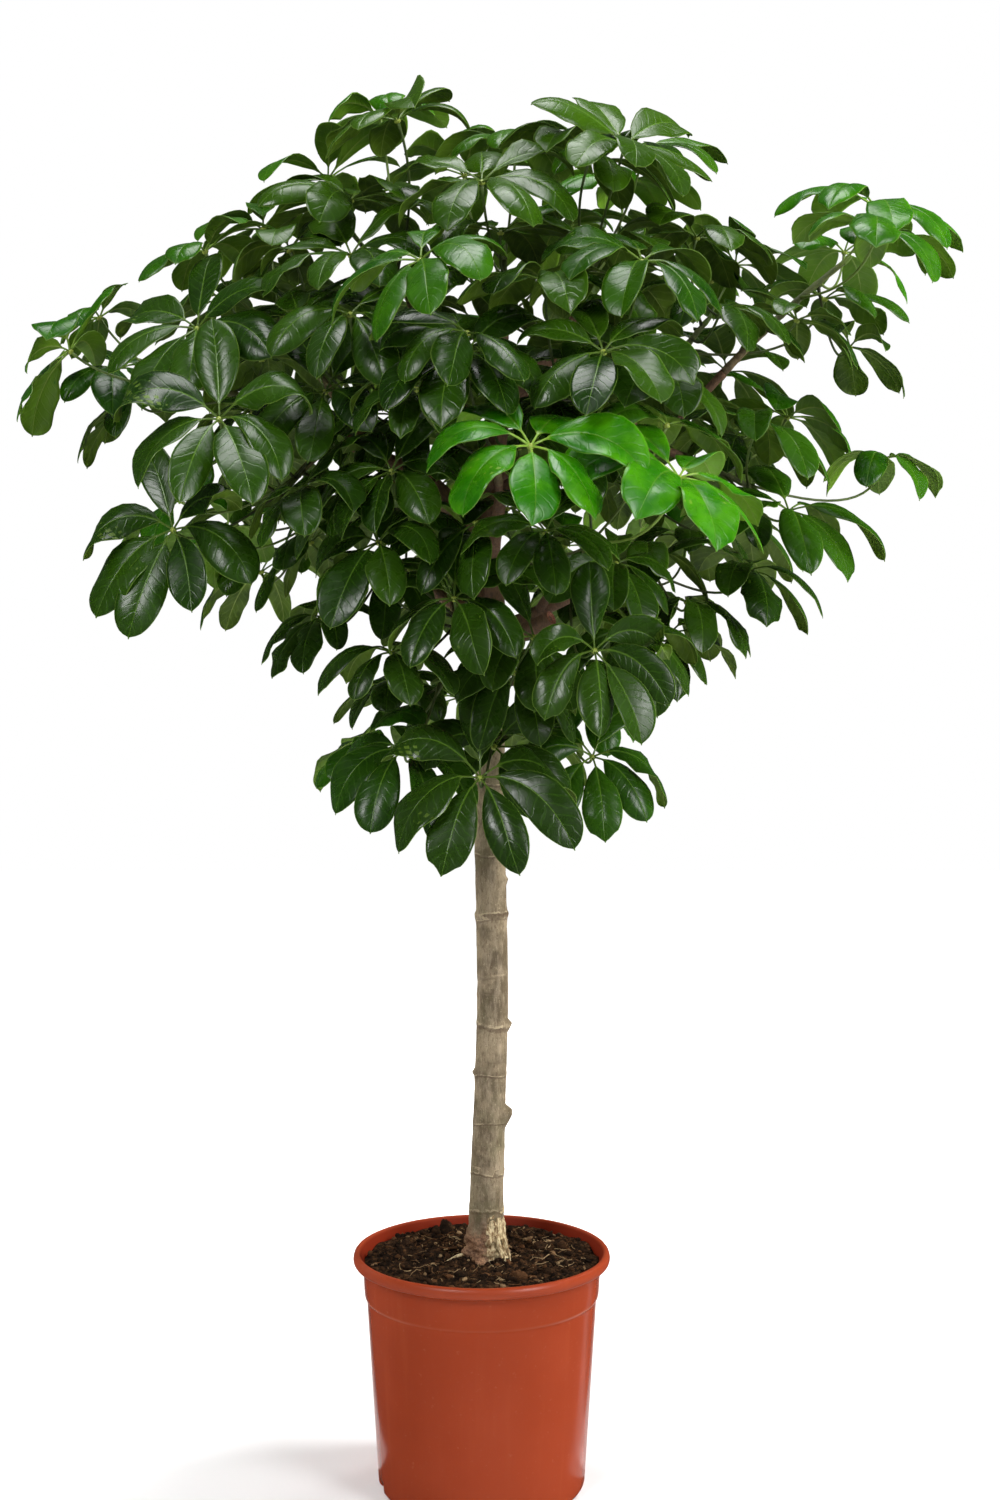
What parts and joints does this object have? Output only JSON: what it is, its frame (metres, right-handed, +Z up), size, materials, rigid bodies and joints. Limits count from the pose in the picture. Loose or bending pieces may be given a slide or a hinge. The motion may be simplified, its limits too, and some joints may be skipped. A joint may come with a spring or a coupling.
{
  "type": "potted umbrella plant",
  "caption": "Umbrella plant grown as a small tree: one bare woody stem, a wide crown of glossy palmate leaves on long stalks, in a terracotta-coloured plastic nursery pot.",
  "frame": {"origin": "centre of the pot's flat underside", "axes": "+Z up along the plant, +X to the right as seen from the front, -Y towards the front"},
  "size_m": [0.9883, 0.7838, 1.4821],
  "materials": {
    "pot_plastic": "semi-gloss moulded terracotta-coloured plastic",
    "soil": null,
    "bark": "grey-brown living bark with pale ring scars",
    "leaf": null
  },
  "bodies": {
    "root": {"pot": "pot_plastic", "soil": "soil", "woody_stem": "bark", "leafy_stem_crest_left": "leaf", "leafy_stem_crest_centre": "leaf", "leafy_stem_crest_right": "leaf", "leafy_stem_far_right": "leaf", "leafy_stem_upper_right": "leaf", "leafy_stem_front_upper_right": "leaf", "leafy_stem_right_side": "leaf", "leafy_stem_right_low": "leaf", "leafy_stem_front_centre": "leaf", "leafy_stem_front_right": "leaf", "leafy_stem_upper_left": "leaf", "leafy_stem_far_left": "leaf", "leafy_stem_left_front": "leaf", "leafy_stem_left_low": "leaf", "leafy_stem_front_low": "leaf", "leafy_stem_bottom_left": "leaf", "leafy_stem_bottom_front": "leaf", "leafy_stem_bottom_right": "leaf", "leafy_stem_front_left": "leaf", "leafy_stem_back_top": "leaf", "leafy_stem_back_top_left": "leaf", "leafy_stem_back_top_right": "leaf", "leafy_stem_back_high": "leaf", "leafy_stem_back_left_side": "leaf", "leafy_stem_back_middle": "leaf", "leafy_stem_back_right_side": "leaf", "leafy_stem_back_low": "leaf"}
  },
  "joints": []
}
